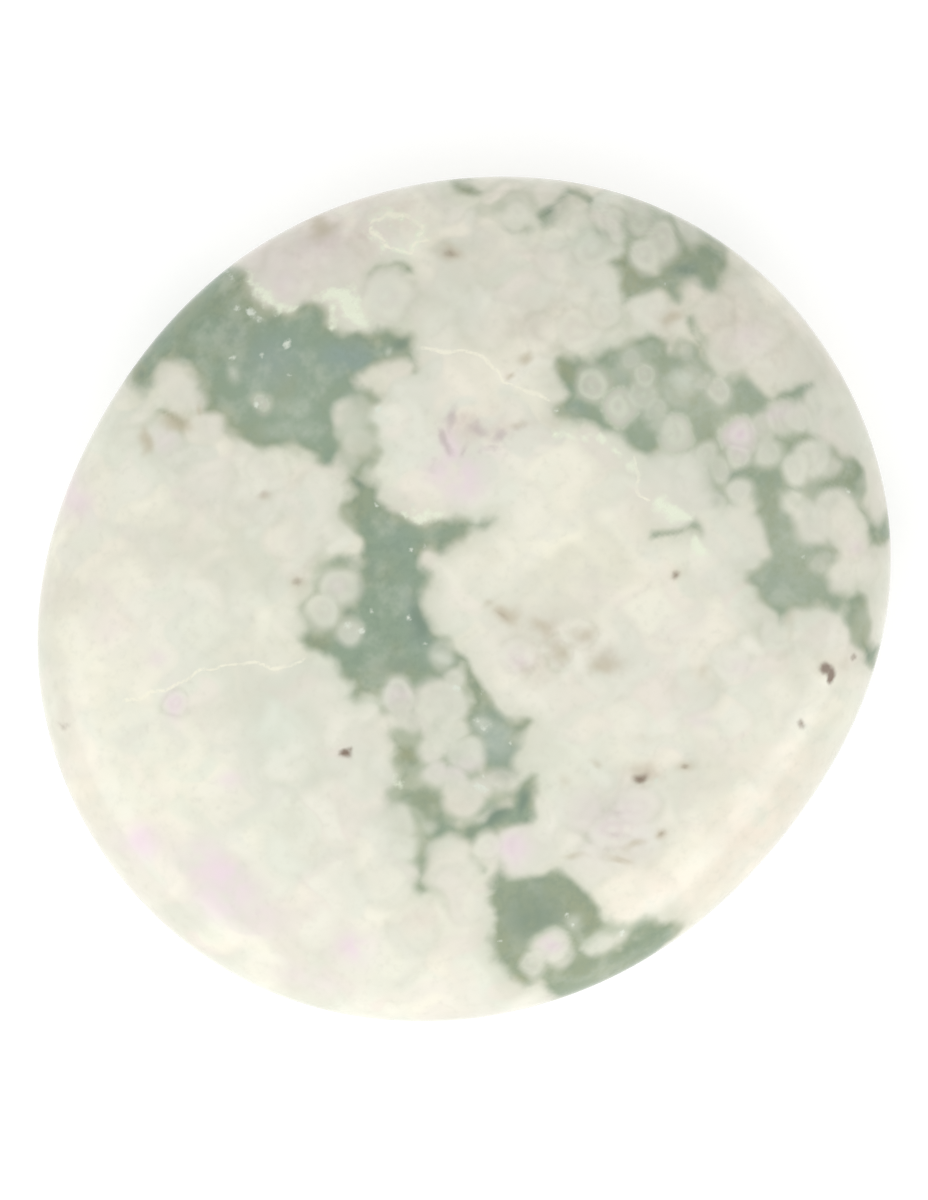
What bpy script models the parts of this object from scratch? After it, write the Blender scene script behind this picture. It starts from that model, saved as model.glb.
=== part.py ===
"""A jade pocket stone: one flat, oval, polished pebble with a rounded rim.

Run it with: blender --background --python part.py
Lengths are in metres and +Z is up. The stone's long axis lies along X. The origin is on the
surface that the stone rests on, under the middle of its box.
"""

import math

import bmesh
import bpy

MM = 0.001

# Driving dimensions of the pebble, as an oval before its soft corners are worn
LENGTH = 42.0 * MM
WIDTH = 38.1 * MM
THICKNESS = 9.0 * MM
BELLY = 4.2 * MM  # from the girdle, where the stone is widest, down to the flat spot
FLAT_DEPTH = 0.06 * MM  # what the flat spot takes off the lowest point of the belly

# The section is a superellipse: 2 would be a plain ellipse, and more is flatter with a fuller rim
SHOULDER = 2.7

# One end is this share thicker, and the other thinner, than the middle
THICK_END = 0.03

# The girdle isn't quite level: it rises by this much on two opposite sides and dips between them
GIRDLE_RISE = 0.22 * MM
GIRDLE_RISE_AT = math.radians(35.0)

# Soft corners of the outline: how many go round, how far each stands out, and where one stands
SOFT_CORNERS = (
    (3, 0.07 * MM, math.radians(83.0)),
    (4, 0.08 * MM, math.radians(55.0)),
    (5, 0.03 * MM, math.radians(18.0)),
    (6, 0.05 * MM, math.radians(20.0)),
)

SPHERE_STEPS = 5  # each step of the round start shape splits every triangle in four

# The pale ground colour, as linear values, and the gloss of a tumbled, waxed stone
JADE_COLOR = (0.72, 0.75, 0.66, 1.0)
JADE_ROUGHNESS = 0.12


def clear_scene():
    """Removes whatever the scene starts with."""
    for thing in list(bpy.data.objects):
        bpy.data.objects.remove(thing, do_unlink=True)


def girdle_radius(angle):
    """How far the girdle is from the middle, in a direction given by its angle from +X."""
    radius = 1.0 / math.hypot(2.0 * math.cos(angle) / LENGTH, 2.0 * math.sin(angle) / WIDTH)
    for count, height, place in SOFT_CORNERS:
        radius += height * math.cos(count * (angle - place))
    return radius


def pebble_point(direction):
    """The point of the pebble that a point of the unit sphere becomes, from the girdle's middle."""
    reach = min(math.hypot(direction.x, direction.y), 1.0)
    angle = math.atan2(direction.y, direction.x)
    radius = reach * girdle_radius(angle)
    x = radius * math.cos(angle)
    y = radius * math.sin(angle)
    rise = (1.0 - reach**SHOULDER) ** (1.0 / SHOULDER)
    rise *= 1.0 + THICK_END * 2.0 * x / LENGTH
    wander = GIRDLE_RISE * reach**4 * math.cos(2.0 * (angle - GIRDLE_RISE_AT))
    height = THICKNESS - BELLY if direction.z >= 0.0 else -(BELLY + FLAT_DEPTH)
    return x, y, rise * height + wander


def grind_flat_spot(shape):
    """Cuts the lowest part of the belly off, level, and closes the cut with one flat face."""
    cut = bmesh.ops.bisect_plane(
        shape,
        geom=shape.verts[:] + shape.edges[:] + shape.faces[:],
        plane_co=(0.0, 0.0, -BELLY),
        plane_no=(0.0, 0.0, -1.0),
        clear_outer=True,
    )
    border = [item for item in cut["geom_cut"] if isinstance(item, bmesh.types.BMEdge)]
    bmesh.ops.contextual_create(shape, geom=border)
    for edge in border:
        for corner in edge.verts:
            corner.co.z = -BELLY


def set_on_ground(shape):
    """Moves the shape so that its box stands on the ground with its middle over the origin."""
    xs = [corner.co.x for corner in shape.verts]
    ys = [corner.co.y for corner in shape.verts]
    middle = ((min(xs) + max(xs)) / 2.0, (min(ys) + max(ys)) / 2.0)
    bmesh.ops.translate(shape, verts=shape.verts, vec=(-middle[0], -middle[1], BELLY))


def polished_jade():
    """The stone's material: pale jade with a wet-looking polish."""
    material = bpy.data.materials.new("polished_jade")
    material.use_nodes = True
    surface = material.node_tree.nodes["Principled BSDF"]
    surface.inputs["Base Color"].default_value = JADE_COLOR
    surface.inputs["Roughness"].default_value = JADE_ROUGHNESS
    surface.inputs["Metallic"].default_value = 0.0
    return material


def pocket_stone(collection):
    """The pebble itself, shaped from a ball of even triangles."""
    shape = bmesh.new()
    bmesh.ops.create_icosphere(shape, subdivisions=SPHERE_STEPS, radius=1.0)
    for corner in shape.verts:
        corner.co = pebble_point(corner.co)
    grind_flat_spot(shape)
    set_on_ground(shape)
    bmesh.ops.recalc_face_normals(shape, faces=shape.faces[:])
    mesh = bpy.data.meshes.new("pocket_stone")
    shape.to_mesh(mesh)
    shape.free()
    mesh.shade_smooth()
    mesh.materials.append(polished_jade())
    stone = bpy.data.objects.new("pocket_stone", mesh)
    collection.objects.link(stone)
    return stone


def main():
    clear_scene()
    collection = bpy.data.collections.new("jade_pocket_stone")
    bpy.context.scene.collection.children.link(collection)
    pocket_stone(collection)


main()
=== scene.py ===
"""The look of a jade pocket stone: one flat, oval pebble, polished all over.

Lengths are in metres and +Z is up. The stone's marks are given in millimetres on the face that
the photograph shows, from the middle of its outline, with u to the photograph's right and v up.
"""

import math
import random

import bpy
import numpy as np
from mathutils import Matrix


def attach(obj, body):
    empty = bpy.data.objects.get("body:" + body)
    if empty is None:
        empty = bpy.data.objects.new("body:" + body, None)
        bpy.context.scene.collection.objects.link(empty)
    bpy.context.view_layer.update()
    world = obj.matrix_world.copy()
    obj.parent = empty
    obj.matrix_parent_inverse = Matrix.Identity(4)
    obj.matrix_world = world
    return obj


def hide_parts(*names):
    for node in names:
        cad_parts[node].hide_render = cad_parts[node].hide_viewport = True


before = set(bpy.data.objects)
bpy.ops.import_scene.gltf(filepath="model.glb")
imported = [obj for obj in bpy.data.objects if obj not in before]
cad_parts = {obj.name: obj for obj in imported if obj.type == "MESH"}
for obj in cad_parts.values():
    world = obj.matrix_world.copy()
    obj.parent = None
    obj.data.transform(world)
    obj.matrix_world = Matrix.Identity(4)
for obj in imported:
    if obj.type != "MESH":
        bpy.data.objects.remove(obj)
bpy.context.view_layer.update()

bpy.ops.object.select_all(action="DESELECT")

# The stone
# One pebble of jade rock: green jade that grew round milky balls, which run together in most of
# it. It was sawn flat, ground to an oval and tumbled until it took a wet-looking polish, and its
# underside keeps one small flat spot.

MM = 0.001
LENGTH = 42.0  # millimetres, as the other sizes of the stone
WIDTH = 38.1
CROWN = 4.8  # from the widest line, the girdle, up to the top
BELLY = 4.2  # and down to the flat spot
FLAT_DEPTH = 0.06
SHOULDER = 2.7  # the section's superellipse: 2 is an ellipse, and more has a fuller rim
THICK_END = 0.03
GIRDLE_RISE = 0.22
GIRDLE_RISE_AT = math.radians(35.0)
SOFT_CORNERS = ((3, 0.07, 83.0), (4, 0.08, 55.0), (5, 0.03, 18.0), (6, 0.05, 20.0))

# A ball of even triangles, each edge of its twenty faces cut into 99, so a point stands about
# every 0.13 mm on the top. The top takes the ball down to past its equator, for the finer marks.
EDGE_CUTS = 98
TOP_ANGLE = math.radians(110.0)

bpy.ops.mesh.primitive_ico_sphere_add(subdivisions=1, radius=1.0, calc_uvs=False)
stone = bpy.context.object
stone.name = "jade_pocket_stone"
stone.data.name = "jade_pocket_stone"
bpy.ops.object.mode_set(mode="EDIT")
bpy.ops.mesh.select_all(action="SELECT")
bpy.ops.mesh.subdivide(number_cuts=EDGE_CUTS)
bpy.ops.mesh.quads_convert_to_tris()
bpy.ops.object.mode_set(mode="OBJECT")


SECTION_POINTS = 2000


def section_by_length(height):
    """The section from its top to the girdle: share of the radius and height, evenly along it."""
    turn = np.linspace(0.0, math.pi / 2.0, SECTION_POINTS)
    reach = np.sin(turn) ** (2.0 / SHOULDER)
    rise = height * np.cos(turn) ** (2.0 / SHOULDER)
    steps = np.hypot(np.diff(reach) * (LENGTH + WIDTH) / 4.0, np.diff(rise))
    return np.concatenate([[0.0], np.cumsum(steps)]), reach, rise


ball = np.empty(len(stone.data.vertices) * 3)
stone.data.vertices.foreach_get("co", ball)
ball = ball.reshape(-1, 3)
ball /= np.linalg.norm(ball, axis=1)[:, None]
polar = np.arccos(np.clip(ball[:, 2], -1.0, 1.0))
around = np.arctan2(ball[:, 1], ball[:, 0])
on_top = polar <= TOP_ANGLE

top_length, top_reach, top_rise = section_by_length(CROWN)
low_length, low_reach, low_rise = section_by_length(BELLY + FLAT_DEPTH)
walk = np.where(
    on_top,
    polar / TOP_ANGLE * top_length[-1],
    (math.pi - polar) / (math.pi - TOP_ANGLE) * low_length[-1],
)
reach = np.where(on_top, np.interp(walk, top_length, top_reach), np.interp(walk, low_length, low_reach))
rise = np.where(on_top, np.interp(walk, top_length, top_rise), -np.interp(walk, low_length, low_rise))

girdle = 1.0 / np.hypot(2.0 * np.cos(around) / LENGTH, 2.0 * np.sin(around) / WIDTH)
for count, height, place in SOFT_CORNERS:
    girdle += height * np.cos(count * (around - math.radians(place)))
x = reach * girdle * np.cos(around)
y = reach * girdle * np.sin(around)
z = rise * (1.0 + THICK_END * 2.0 * x / LENGTH)
z += GIRDLE_RISE * reach**4 * np.cos(2.0 * (around - GIRDLE_RISE_AT))
z = np.maximum(z, -BELLY) + BELLY

# The face as the photograph shows it: the camera stands straight above and the stone's long axis
# is turned in the picture, and what is nearer to the camera looks larger than the girdle does.
LONG_AXIS_TURN = math.radians(43.17)
CAMERA_HEIGHT = 220.0  # millimetres above the girdle
nearness = CAMERA_HEIGHT / (CAMERA_HEIGHT + BELLY - z)
u = (x * math.cos(LONG_AXIS_TURN) - y * math.sin(LONG_AXIS_TURN)) * nearness
v = (x * math.sin(LONG_AXIS_TURN) + y * math.cos(LONG_AXIS_TURN)) * nearness

# The marks on the face that shows. Green jade lies in closed patches, each given by its edge.
GREEN_PATCHES = (
    (
        (-11.5, 16.9), (-10.3, 15.7), (-10.1, 14.9), (-10, 14.1), (-9.4, 13.85), (-8.7, 13.6), (-8, 13.7),
        (-7.5, 14.05), (-6.9, 14), (-6.45, 13.6), (-6.35, 13), (-5.7, 12.7), (-4.9, 12.6), (-4, 12.55),
        (-3.1, 12.7), (-2.55, 12.6), (-2.35, 11.9), (-2.1, 10.7), (-2.5, 11.2), (-3.4, 11.15), (-4.2, 11),
        (-4.8, 10.6), (-5.1, 10), (-4.6, 9.8), (-4.1, 9.9), (-4.1, 9.3), (-4.8, 9.2), (-5.6, 9.3),
        (-6, 8.9), (-5.9, 8), (-5.7, 7.4), (-6.1, 6.8), (-6.2, 6.35), (-6.6, 6.35), (-7.2, 6.8),
        (-8.2, 7.15), (-8.9, 6.9), (-9.7, 7.05), (-10.5, 7.55), (-11.2, 8), (-11.6, 8.7), (-12.2, 8.9),
        (-12.5, 9.2), (-12.6, 10.4), (-13.2, 11), (-14.1, 10.9), (-14.5, 10.3), (-14.6, 9.5), (-15.4, 9.4),
        (-15.6, 10.6), (-15.6, 11.6), (-16, 12.8), (-13.8, 15.1),
    ),
    (
        (-5.55, 5.7), (-5.2, 6), (-4.8, 5.5), (-4.4, 5.6), (-4, 5.4), (-3.85, 4.9), (-3.5, 4.4), (-3.05, 4),
        (-2.7, 3.75), (-1.9, 3.65), (-1.2, 3.75), (-0.5, 3.9), (0, 3.6), (0.45, 3.55), (1, 3.7),
        (1.9, 3.95), (1.2, 3.4), (0.7, 3.2), (0.2, 3.1), (-0.2, 2.8), (-0.7, 2.35), (-1.1, 2.15),
        (-1.6, 2.3), (-2.05, 2.1), (-1.9, 1.6), (-1.6, 1.1), (-1.6, 0.6), (-1.9, 0.1), (-1.7, -0.5),
        (-1.5, -1), (-1, -1.8), (-0.6, -2.1), (-0.2, -2.35), (0.3, -2.85), (0.6, -3.5), (0.85, -4),
        (1.15, -4.5), (1.5, -5.1), (1.9, -5.6), (2.5, -5.85), (3.4, -5.8), (2.85, -6.3), (2.5, -6.9),
        (2.4, -7.6), (2.55, -8.2), (2.8, -8.7), (1.9, -8.75), (1.05, -8.4), (0.8, -8), (0.85, -7.5),
        (0.6, -6.95), (0.1, -6.6), (-0.2, -6.1), (-0.3, -5.6), (-0.05, -5.15), (0.3, -4.9), (0.3, -4.5),
        (0.15, -4), (0.15, -3.5), (-0.1, -3), (-0.4, -3.35), (-0.75, -3.45), (-1.05, -3.9), (-1.5, -4.3),
        (-1.8, -4.65), (-2, -4.8), (-2.3, -4.5), (-3.7, -4.6), (-3.9, -4.8), (-4.5, -4.8), (-5.3, -4.85),
        (-5.25, -4.1), (-5.7, -3.6), (-6.2, -3.15), (-6.75, -2.85), (-7.1, -2.4), (-7.7, -2.2),
        (-7.5, -1.8), (-6.95, -1.65), (-6.4, -1.55), (-5.95, -1.35), (-5.8, -0.8), (-5.9, -0.45),
        (-5.5, -0.2), (-5.1, 0.05), (-4.95, 0.5), (-5, 1), (-5.2, 1.4), (-5.6, 1.65), (-6.15, 1.7),
        (-5.6, 1.9), (-5.05, 2), (-4.8, 2.3), (-4.85, 2.7), (-5.15, 3.2), (-5.65, 3.75), (-5.8, 4.15),
        (-5.5, 4.75), (-5.3, 5.2),
    ),
    (
        (-3.2, -9.5), (-2.9, -9), (-2.35, -8.9), (-1.85, -9.1), (-1.2, -9.15), (-0.8, -9.5), (-0.65, -10.2),
        (-0.35, -10.7), (0.05, -10.9), (0.6, -10.85), (1, -10.6), (1.2, -10.1), (1.75, -9.85), (2.2, -9.7),
        (2.4, -9.2), (2.9, -8.4), (3.5, -8.6), (3.55, -10.2), (3.2, -10.9), (2.35, -11), (1.75, -10.9),
        (1.3, -11.1), (0.9, -11.2), (0.6, -11.65), (0.2, -11.5), (-0.5, -11.45), (-1, -11.6), (-1.2, -12),
        (-1.4, -12.5), (-1.65, -13.2), (-1.7, -13.95), (-2.05, -14), (-2.2, -13.1), (-2.15, -12.2),
        (-1.95, -11.7), (-1.95, -11.2), (-1.5, -11.1), (-1.55, -10.7), (-1.85, -10.2), (-2.25, -9.9),
        (-3.3, -9.95),
    ),
    (
        (-3.4, -6.5), (-3.1, -6.9), (-2.75, -6.75), (-2.2, -6.95), (-2.1, -7.5), (-2.25, -8.05),
        (-2.7, -8.15), (-3.1, -8.1), (-3.25, -7.3),
    ),
    (
        (1.3, -13.3), (1.5, -12.75), (1.85, -12.8), (2.35, -13.2), (3.2, -13.3), (3.85, -13.1),
        (4.15, -12.95), (4.6, -13.15), (5.2, -13.3), (5.7, -13.7), (6.1, -14.2), (6.45, -14.9),
        (6.6, -15.5), (6.4, -16), (6, -16.5), (6, -17), (6.6, -17.1), (7.3, -16.9), (7.8, -16.3),
        (8.2, -15.9), (8.8, -15.75), (9.5, -15.6), (10.2, -15.3), (11, -16.6), (8.5, -18.8), (5, -20),
        (4, -18.6), (3.7, -18.3), (3.1, -18.6), (2.6, -18.5), (2.3, -18), (1.85, -17.5), (1.4, -16.9),
        (1.2, -16.1), (1.3, -15.5), (1.45, -15), (1.3, -14.5), (0.95, -14.25), (1.2, -13.9),
    ),
    (
        (7.3, 16.3), (7.9, 16.4), (8.3, 15.9), (8.8, 15.6), (9.3, 15.6), (9.8, 15.9), (10, 16.4),
        (10.1, 17), (10.3, 17.6), (10.5, 16.9), (11, 16.6), (11.6, 16.5), (12.2, 16.5), (12.9, 16.2),
        (12.9, 15.4), (12.4, 14.9), (12.1, 14.5), (11.6, 14.2), (11.4, 14.7), (11, 14.95), (10.5, 14.85),
        (10.3, 14.2), (9.8, 14.2), (9.3, 14.5), (8.8, 14.2), (8.3, 14.1), (7.8, 13.9), (7.5, 14.2),
        (7.6, 14.9), (7.3, 15.5), (6.95, 15.9),
    ),
    (
        (4.2, 10.95), (4.6, 11.4), (5.5, 11.5), (6.2, 11.6), (6.8, 12), (7.8, 12.15), (8.3, 12.6),
        (8.8, 12.75), (9.3, 12.5), (9.8, 12.1), (9.9, 11.5), (10.5, 12.2), (11, 12.3), (11.5, 11.2),
        (12, 10.6), (12.6, 10.45), (13.3, 10.65), (13.9, 10.4), (14.3, 9.9), (14.95, 9.6), (15.5, 9.95),
        (16.3, 10.2), (16.9, 10), (16.8, 9.1), (16.2, 9.2), (15.2, 9.3), (14.7, 9.3), (14.4, 8.85),
        (13.9, 8.65), (13.15, 8.85), (12.5, 8.6), (12.2, 8.1), (12.2, 7.6), (12.5, 7), (12.75, 6.6),
        (12.5, 6.5), (12.2, 7), (12, 7.3), (11.5, 7.5), (11.05, 7.5), (10.7, 8.1), (10.3, 8.5), (9.9, 8.65),
        (9.6, 8.4), (9.5, 7.8), (9.35, 7.15), (9.65, 6.6), (9.2, 6.4), (8.6, 6.6), (8.1, 7.05), (7.6, 7.6),
        (6.9, 7.85), (6.2, 8), (5.5, 8.3), (4.95, 8.5), (4.4, 8.6), (4.4, 9.05), (4.85, 9.5), (4.7, 10),
        (4.25, 10.4),
    ),
    (
        (14.1, 7.9), (14.7, 7.95), (15.2, 7.6), (15.8, 7.55), (16.4, 7.85), (16.6, 7.6), (16.1, 7.1),
        (15.5, 6.65), (15.3, 7), (15.1, 7.5), (14.6, 7.7), (14.2, 7.6),
    ),
    (
        (12.7, 6.1), (12.9, 6.4), (13.4, 6.35), (13.9, 6.4), (14.4, 6.15), (15, 6), (15.4, 5.7),
        (16.1, 5.6), (17, 5.8), (17.9, 5.95), (18.1, 6.2), (17.7, 6.7), (17.2, 7.05), (17.9, 6.95),
        (18.6, 6.4), (19, 5.8), (19.15, 5), (19.2, 4.3), (19.5, 3.8), (19.75, 3.3), (21.5, 3.3), (21.5, 2),
        (19.65, 2.1), (19.5, 2.85), (19.1, 3.6), (18.85, 4.5), (18.1, 4.75), (17.5, 4.4), (16.85, 4.2),
        (16.4, 4.5), (16.2, 4.95), (15.6, 5.15), (15.25, 5), (15.15, 4.7), (15.6, 4.1), (15.8, 3.6),
        (16, 3.05), (16.5, 2.75), (17.25, 2.6), (18, 2.4), (18, 1.9), (17.5, 1.7), (17.25, 1.15),
        (17.5, 0.6), (17.9, 0.2), (18.5, 0.05), (18.95, 0.4), (19.25, -0.1), (19.35, -1.1), (19.5, -2.1),
        (19.75, -2.7), (20.6, -3), (20.4, -4.4), (19.3, -3.5), (19.35, -2.8), (18.95, -2.2), (18.6, -1.7),
        (18.4, -1), (18.1, -0.5), (17.7, -0.65), (16.9, -0.5), (16, -0.5), (15.5, -0.65), (15.3, -1.1),
        (15.15, -1.7), (15, -1), (14.7, -0.5), (14.2, -0.1), (13.8, 0.3), (13.4, 0.8), (13.5, 1.3),
        (14.1, 1.6), (14.4, 1.9), (14.55, 2.3), (14.2, 2.75), (13.9, 3.35), (13.35, 3.9), (13.7, 4.25),
        (13.85, 4.75), (13.75, 5.25), (13.2, 5.5), (12.7, 5.6), (12.4, 5.8),
    ),
)

# Thin green streaks: rows of points, each with the streak's half width there.
GREEN_STREAKS = (
    ((-4.3, 7.1, 0.2), (-4.6, 6.65, 0.3), (-4.2, 6.5, 0.15)),
    ((-4.6, 6.65, 0.2), (-5, 6, 0.2)),
    ((0, 19.2, 0.2), (0.8, 19.1, 0.22)),
    (
        (3.8, 17.95, 0.2), (4.3, 18.1, 0.24), (4.7, 18.5, 0.14), (5.2, 18.8, 0.12), (5.7, 18.85, 0.13),
        (6.2, 18.7, 0.1),
    ),
    ((6.4, 17.2, 0.12), (6.7, 17.2, 0.16), (7, 17.2, 0.12)),
    ((7.9, 17.8, 0.12), (8, 17.4, 0.16), (8.4, 17.1, 0.18), (8.9, 17.1, 0.14)),
    ((2, 17.5, 0.06), (2.5, 17.3, 0.08), (3, 17.4, 0.06)),
    ((-4.4, 15.3, 0.05), (-3.9, 15.7, 0.08), (-3.2, 15.75, 0.1), (-2.6, 15.6, 0.06)),
    ((10.75, 12.95, 0.05), (11.05, 12.2, 0.13), (11.35, 11.7, 0.14), (11.6, 11.1, 0.05)),
    ((-2.2, -7.6, 0.04), (-1.3, -7.65, 0.05), (-0.5, -7.95, 0.06)),
    ((0.45, -12.2, 0.05), (0.75, -12.6, 0.12), (1, -13, 0.1)),
    ((12.1, 4.85, 0.3), (12, 4.7, 0.3)),
    ((11.6, 5.75, 0.12), (11.75, 5.4, 0.12)),
    ((9.2, 2.95, 0.1), (9.8, 3.05, 0.15), (10.4, 3.05, 0.14), (11, 3.4, 0.25), (11.3, 3.3, 0.27)),
    ((-2.7, -8.5, 0.13), (-2.5, -8.55, 0.12)),
    ((-14.2, 8.6, 0.05), (-13.7, 8.5, 0.15), (-13.2, 8.4, 0.1)),
)

# Milky balls that the green grew round: place, radius, how much each hides what is under it, and
# how strongly its growth rings show. A ring strength below zero has a dark middle.
MILKY_BALLS = (
    (-13.45, 9.7, 1, 0.9, 0.1), (-12.6, 9.4, 0.55, 0.85, 0.1), (-12.3, 8, 1, 0.9, 0.1),
    (-14.05, 7.5, 0.8, 0.75, 0.1), (-9.45, 9.15, 0.5, 0.5, 0.8), (-10.8, 10.6, 0.4, 0.25, 0.3),
    (-5.4, -1.65, 0.8, 0.7, 0.2), (-5.85, 0.5, 1.05, 0.75, 0.4), (-6.7, -0.6, 0.95, 0.8, 0.4),
    (-5.2, 1.6, 0.5, 0.4, 0.1), (-3, -4.75, 0.98, 0.85, 0.5), (-3, -5.5, 0.8, 0.8, 0.2),
    (-0.45, -3.85, 0.7, 0.75, 0.1), (-1.1, -5, 1.35, 0.9, 0.15), (-1, -2.8, 0.75, 0.45, 0.1),
    (-1.2, -6.1, 1, 0.9, 0), (-0.9, -6.8, 0.8, 0.9, 0), (-1.5, -7.2, 0.75, 0.85, 0),
    (-2.4, -5.9, 0.65, 0.8, 0.1), (-0.4, -6.2, 0.7, 0.8, 0.1), (0.1, -7.4, 0.95, 0.8, 0.2),
    (0.9, -5.95, 0.55, 0.35, 0.1), (1.8, -8.7, 0.8, 0.5, 0.2), (0.1, -9.5, 1.1, 0.9, 0.1),
    (-1.3, -8.35, 0.75, 0.85, 0), (-0.4, -8.8, 0.85, 0.85, 0), (0.9, -9, 0.7, 0.8, 0),
    (-1.5, -10.8, 0.4, 0.5, 0.2), (-3.2, -10.7, 0.95, 0.75, 0.1), (-0.5, -12.7, 1.4, 0.75, 0.1),
    (-3.1, -11.8, 0.9, 0.8, 0.1), (-5.3, 8.6, 0.95, 0.35, 0), (-4.9, 7.4, 0.9, 0.5, 0),
    (-5.5, 6.6, 0.6, 0.3, 0), (2.7, -11.9, 1.25, 0.95, 0.3), (1.1, -11.7, 0.75, 0.9, 0.3),
    (3.4, -12, 1.05, 0.9, 0.1), (4.2, -16.6, 1, 0.9, -0.6), (3.45, -17.5, 0.75, 0.8, 0.4),
    (4.7, -17.1, 0.6, 0.7, 0.1), (6.9, -16.5, 0.6, 0.75, 0.1), (6.4, -16.7, 0.45, 0.6, 0),
    (7.5, -16.2, 0.45, 0.6, 0), (5.3, -15.4, 0.5, 0.25, 0), (6.2, 10.15, 0.95, 0.62, 0.8),
    (7.5, 9.05, 0.92, 0.62, -0.9), (8, 11.4, 0.65, 0.38, 0.3), (8.6, 10.5, 0.75, 0.45, 0.7),
    (8.5, 9.7, 0.8, 0.5, 0.5), (9.1, 9, 0.7, 0.42, 0.3), (10.1, 7.8, 0.95, 0.65, -0.6),
    (9.4, 8.2, 0.6, 0.4, 0.2), (10.5, 11.6, 0.45, 0.45, 0.2), (10.8, 10.8, 0.5, 0.45, 0.2),
    (11.3, 10.3, 0.55, 0.5, 0.2), (12.1, 9.8, 0.7, 0.75, 0.6), (10.3, 9.9, 0.9, 0.25, 0.1),
    (13.1, 7.7, 1, 0.85, -0.9), (13.1, 6.7, 0.6, 0.75, 0.6), (14.3, 8.1, 0.75, 0.55, 0.3),
    (15.2, 8.6, 0.85, 0.85, -0.4), (15.9, 8.6, 0.75, 0.85, 0.3), (14.5, 6.95, 0.85, 0.75, 0.3),
    (11.6, 6.8, 0.75, 0.7, 0.4), (12.2, 6.1, 0.7, 0.7, 0.3), (11, 6.3, 0.9, 0.7, 0.2),
    (13.1, 5, 0.8, 0.85, 0.3), (16.6, 6.6, 0.95, 0.9, 0.4), (15.8, 6.1, 0.8, 0.9, 0.3),
    (17.4, 6.2, 0.6, 0.6, 0.1), (15.6, 4.6, 0.6, 0.6, 0.2), (16.3, 4.2, 0.6, 0.7, 0.1),
    (16.6, 3.6, 1, 0.85, 0.2), (17.7, 3.9, 1.2, 0.9, 0.2), (18.3, 3, 1.1, 0.85, 0.2),
    (18.2, 1, 0.8, 0.8, 0.1), (18, 1.7, 0.55, 0.6, 0.1), (17.05, 1.6, 0.6, 0.45, 0.2),
    (13, 3, 1.5, 0.9, 0.1), (11.6, 4.4, 0.9, 0.7, 0.1), (10, 5.2, 1.9, 0.9, 0.1),
    (10.9, 14.6, 0.5, 0.55, 0.2), (8.6, 17.7, 0.75, 0.6, -0.6), (9.5, 16.8, 0.9, 0.8, 0.6),
    (8.7, 16.2, 0.85, 0.8, 0.5), (7.5, 17.5, 0.7, 0.55, 0.5), (5.3, 17.8, 0.9, 0.6, 0.4),
    (6.2, 16.6, 0.9, 0.6, 0.4), (11.2, 17.3, 0.8, 0.7, 0.2), (4.4, 17, 0.7, 0.5, 0.3),
    (2.7, 18.4, 0.8, 0.4, 0.2),
)

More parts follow.
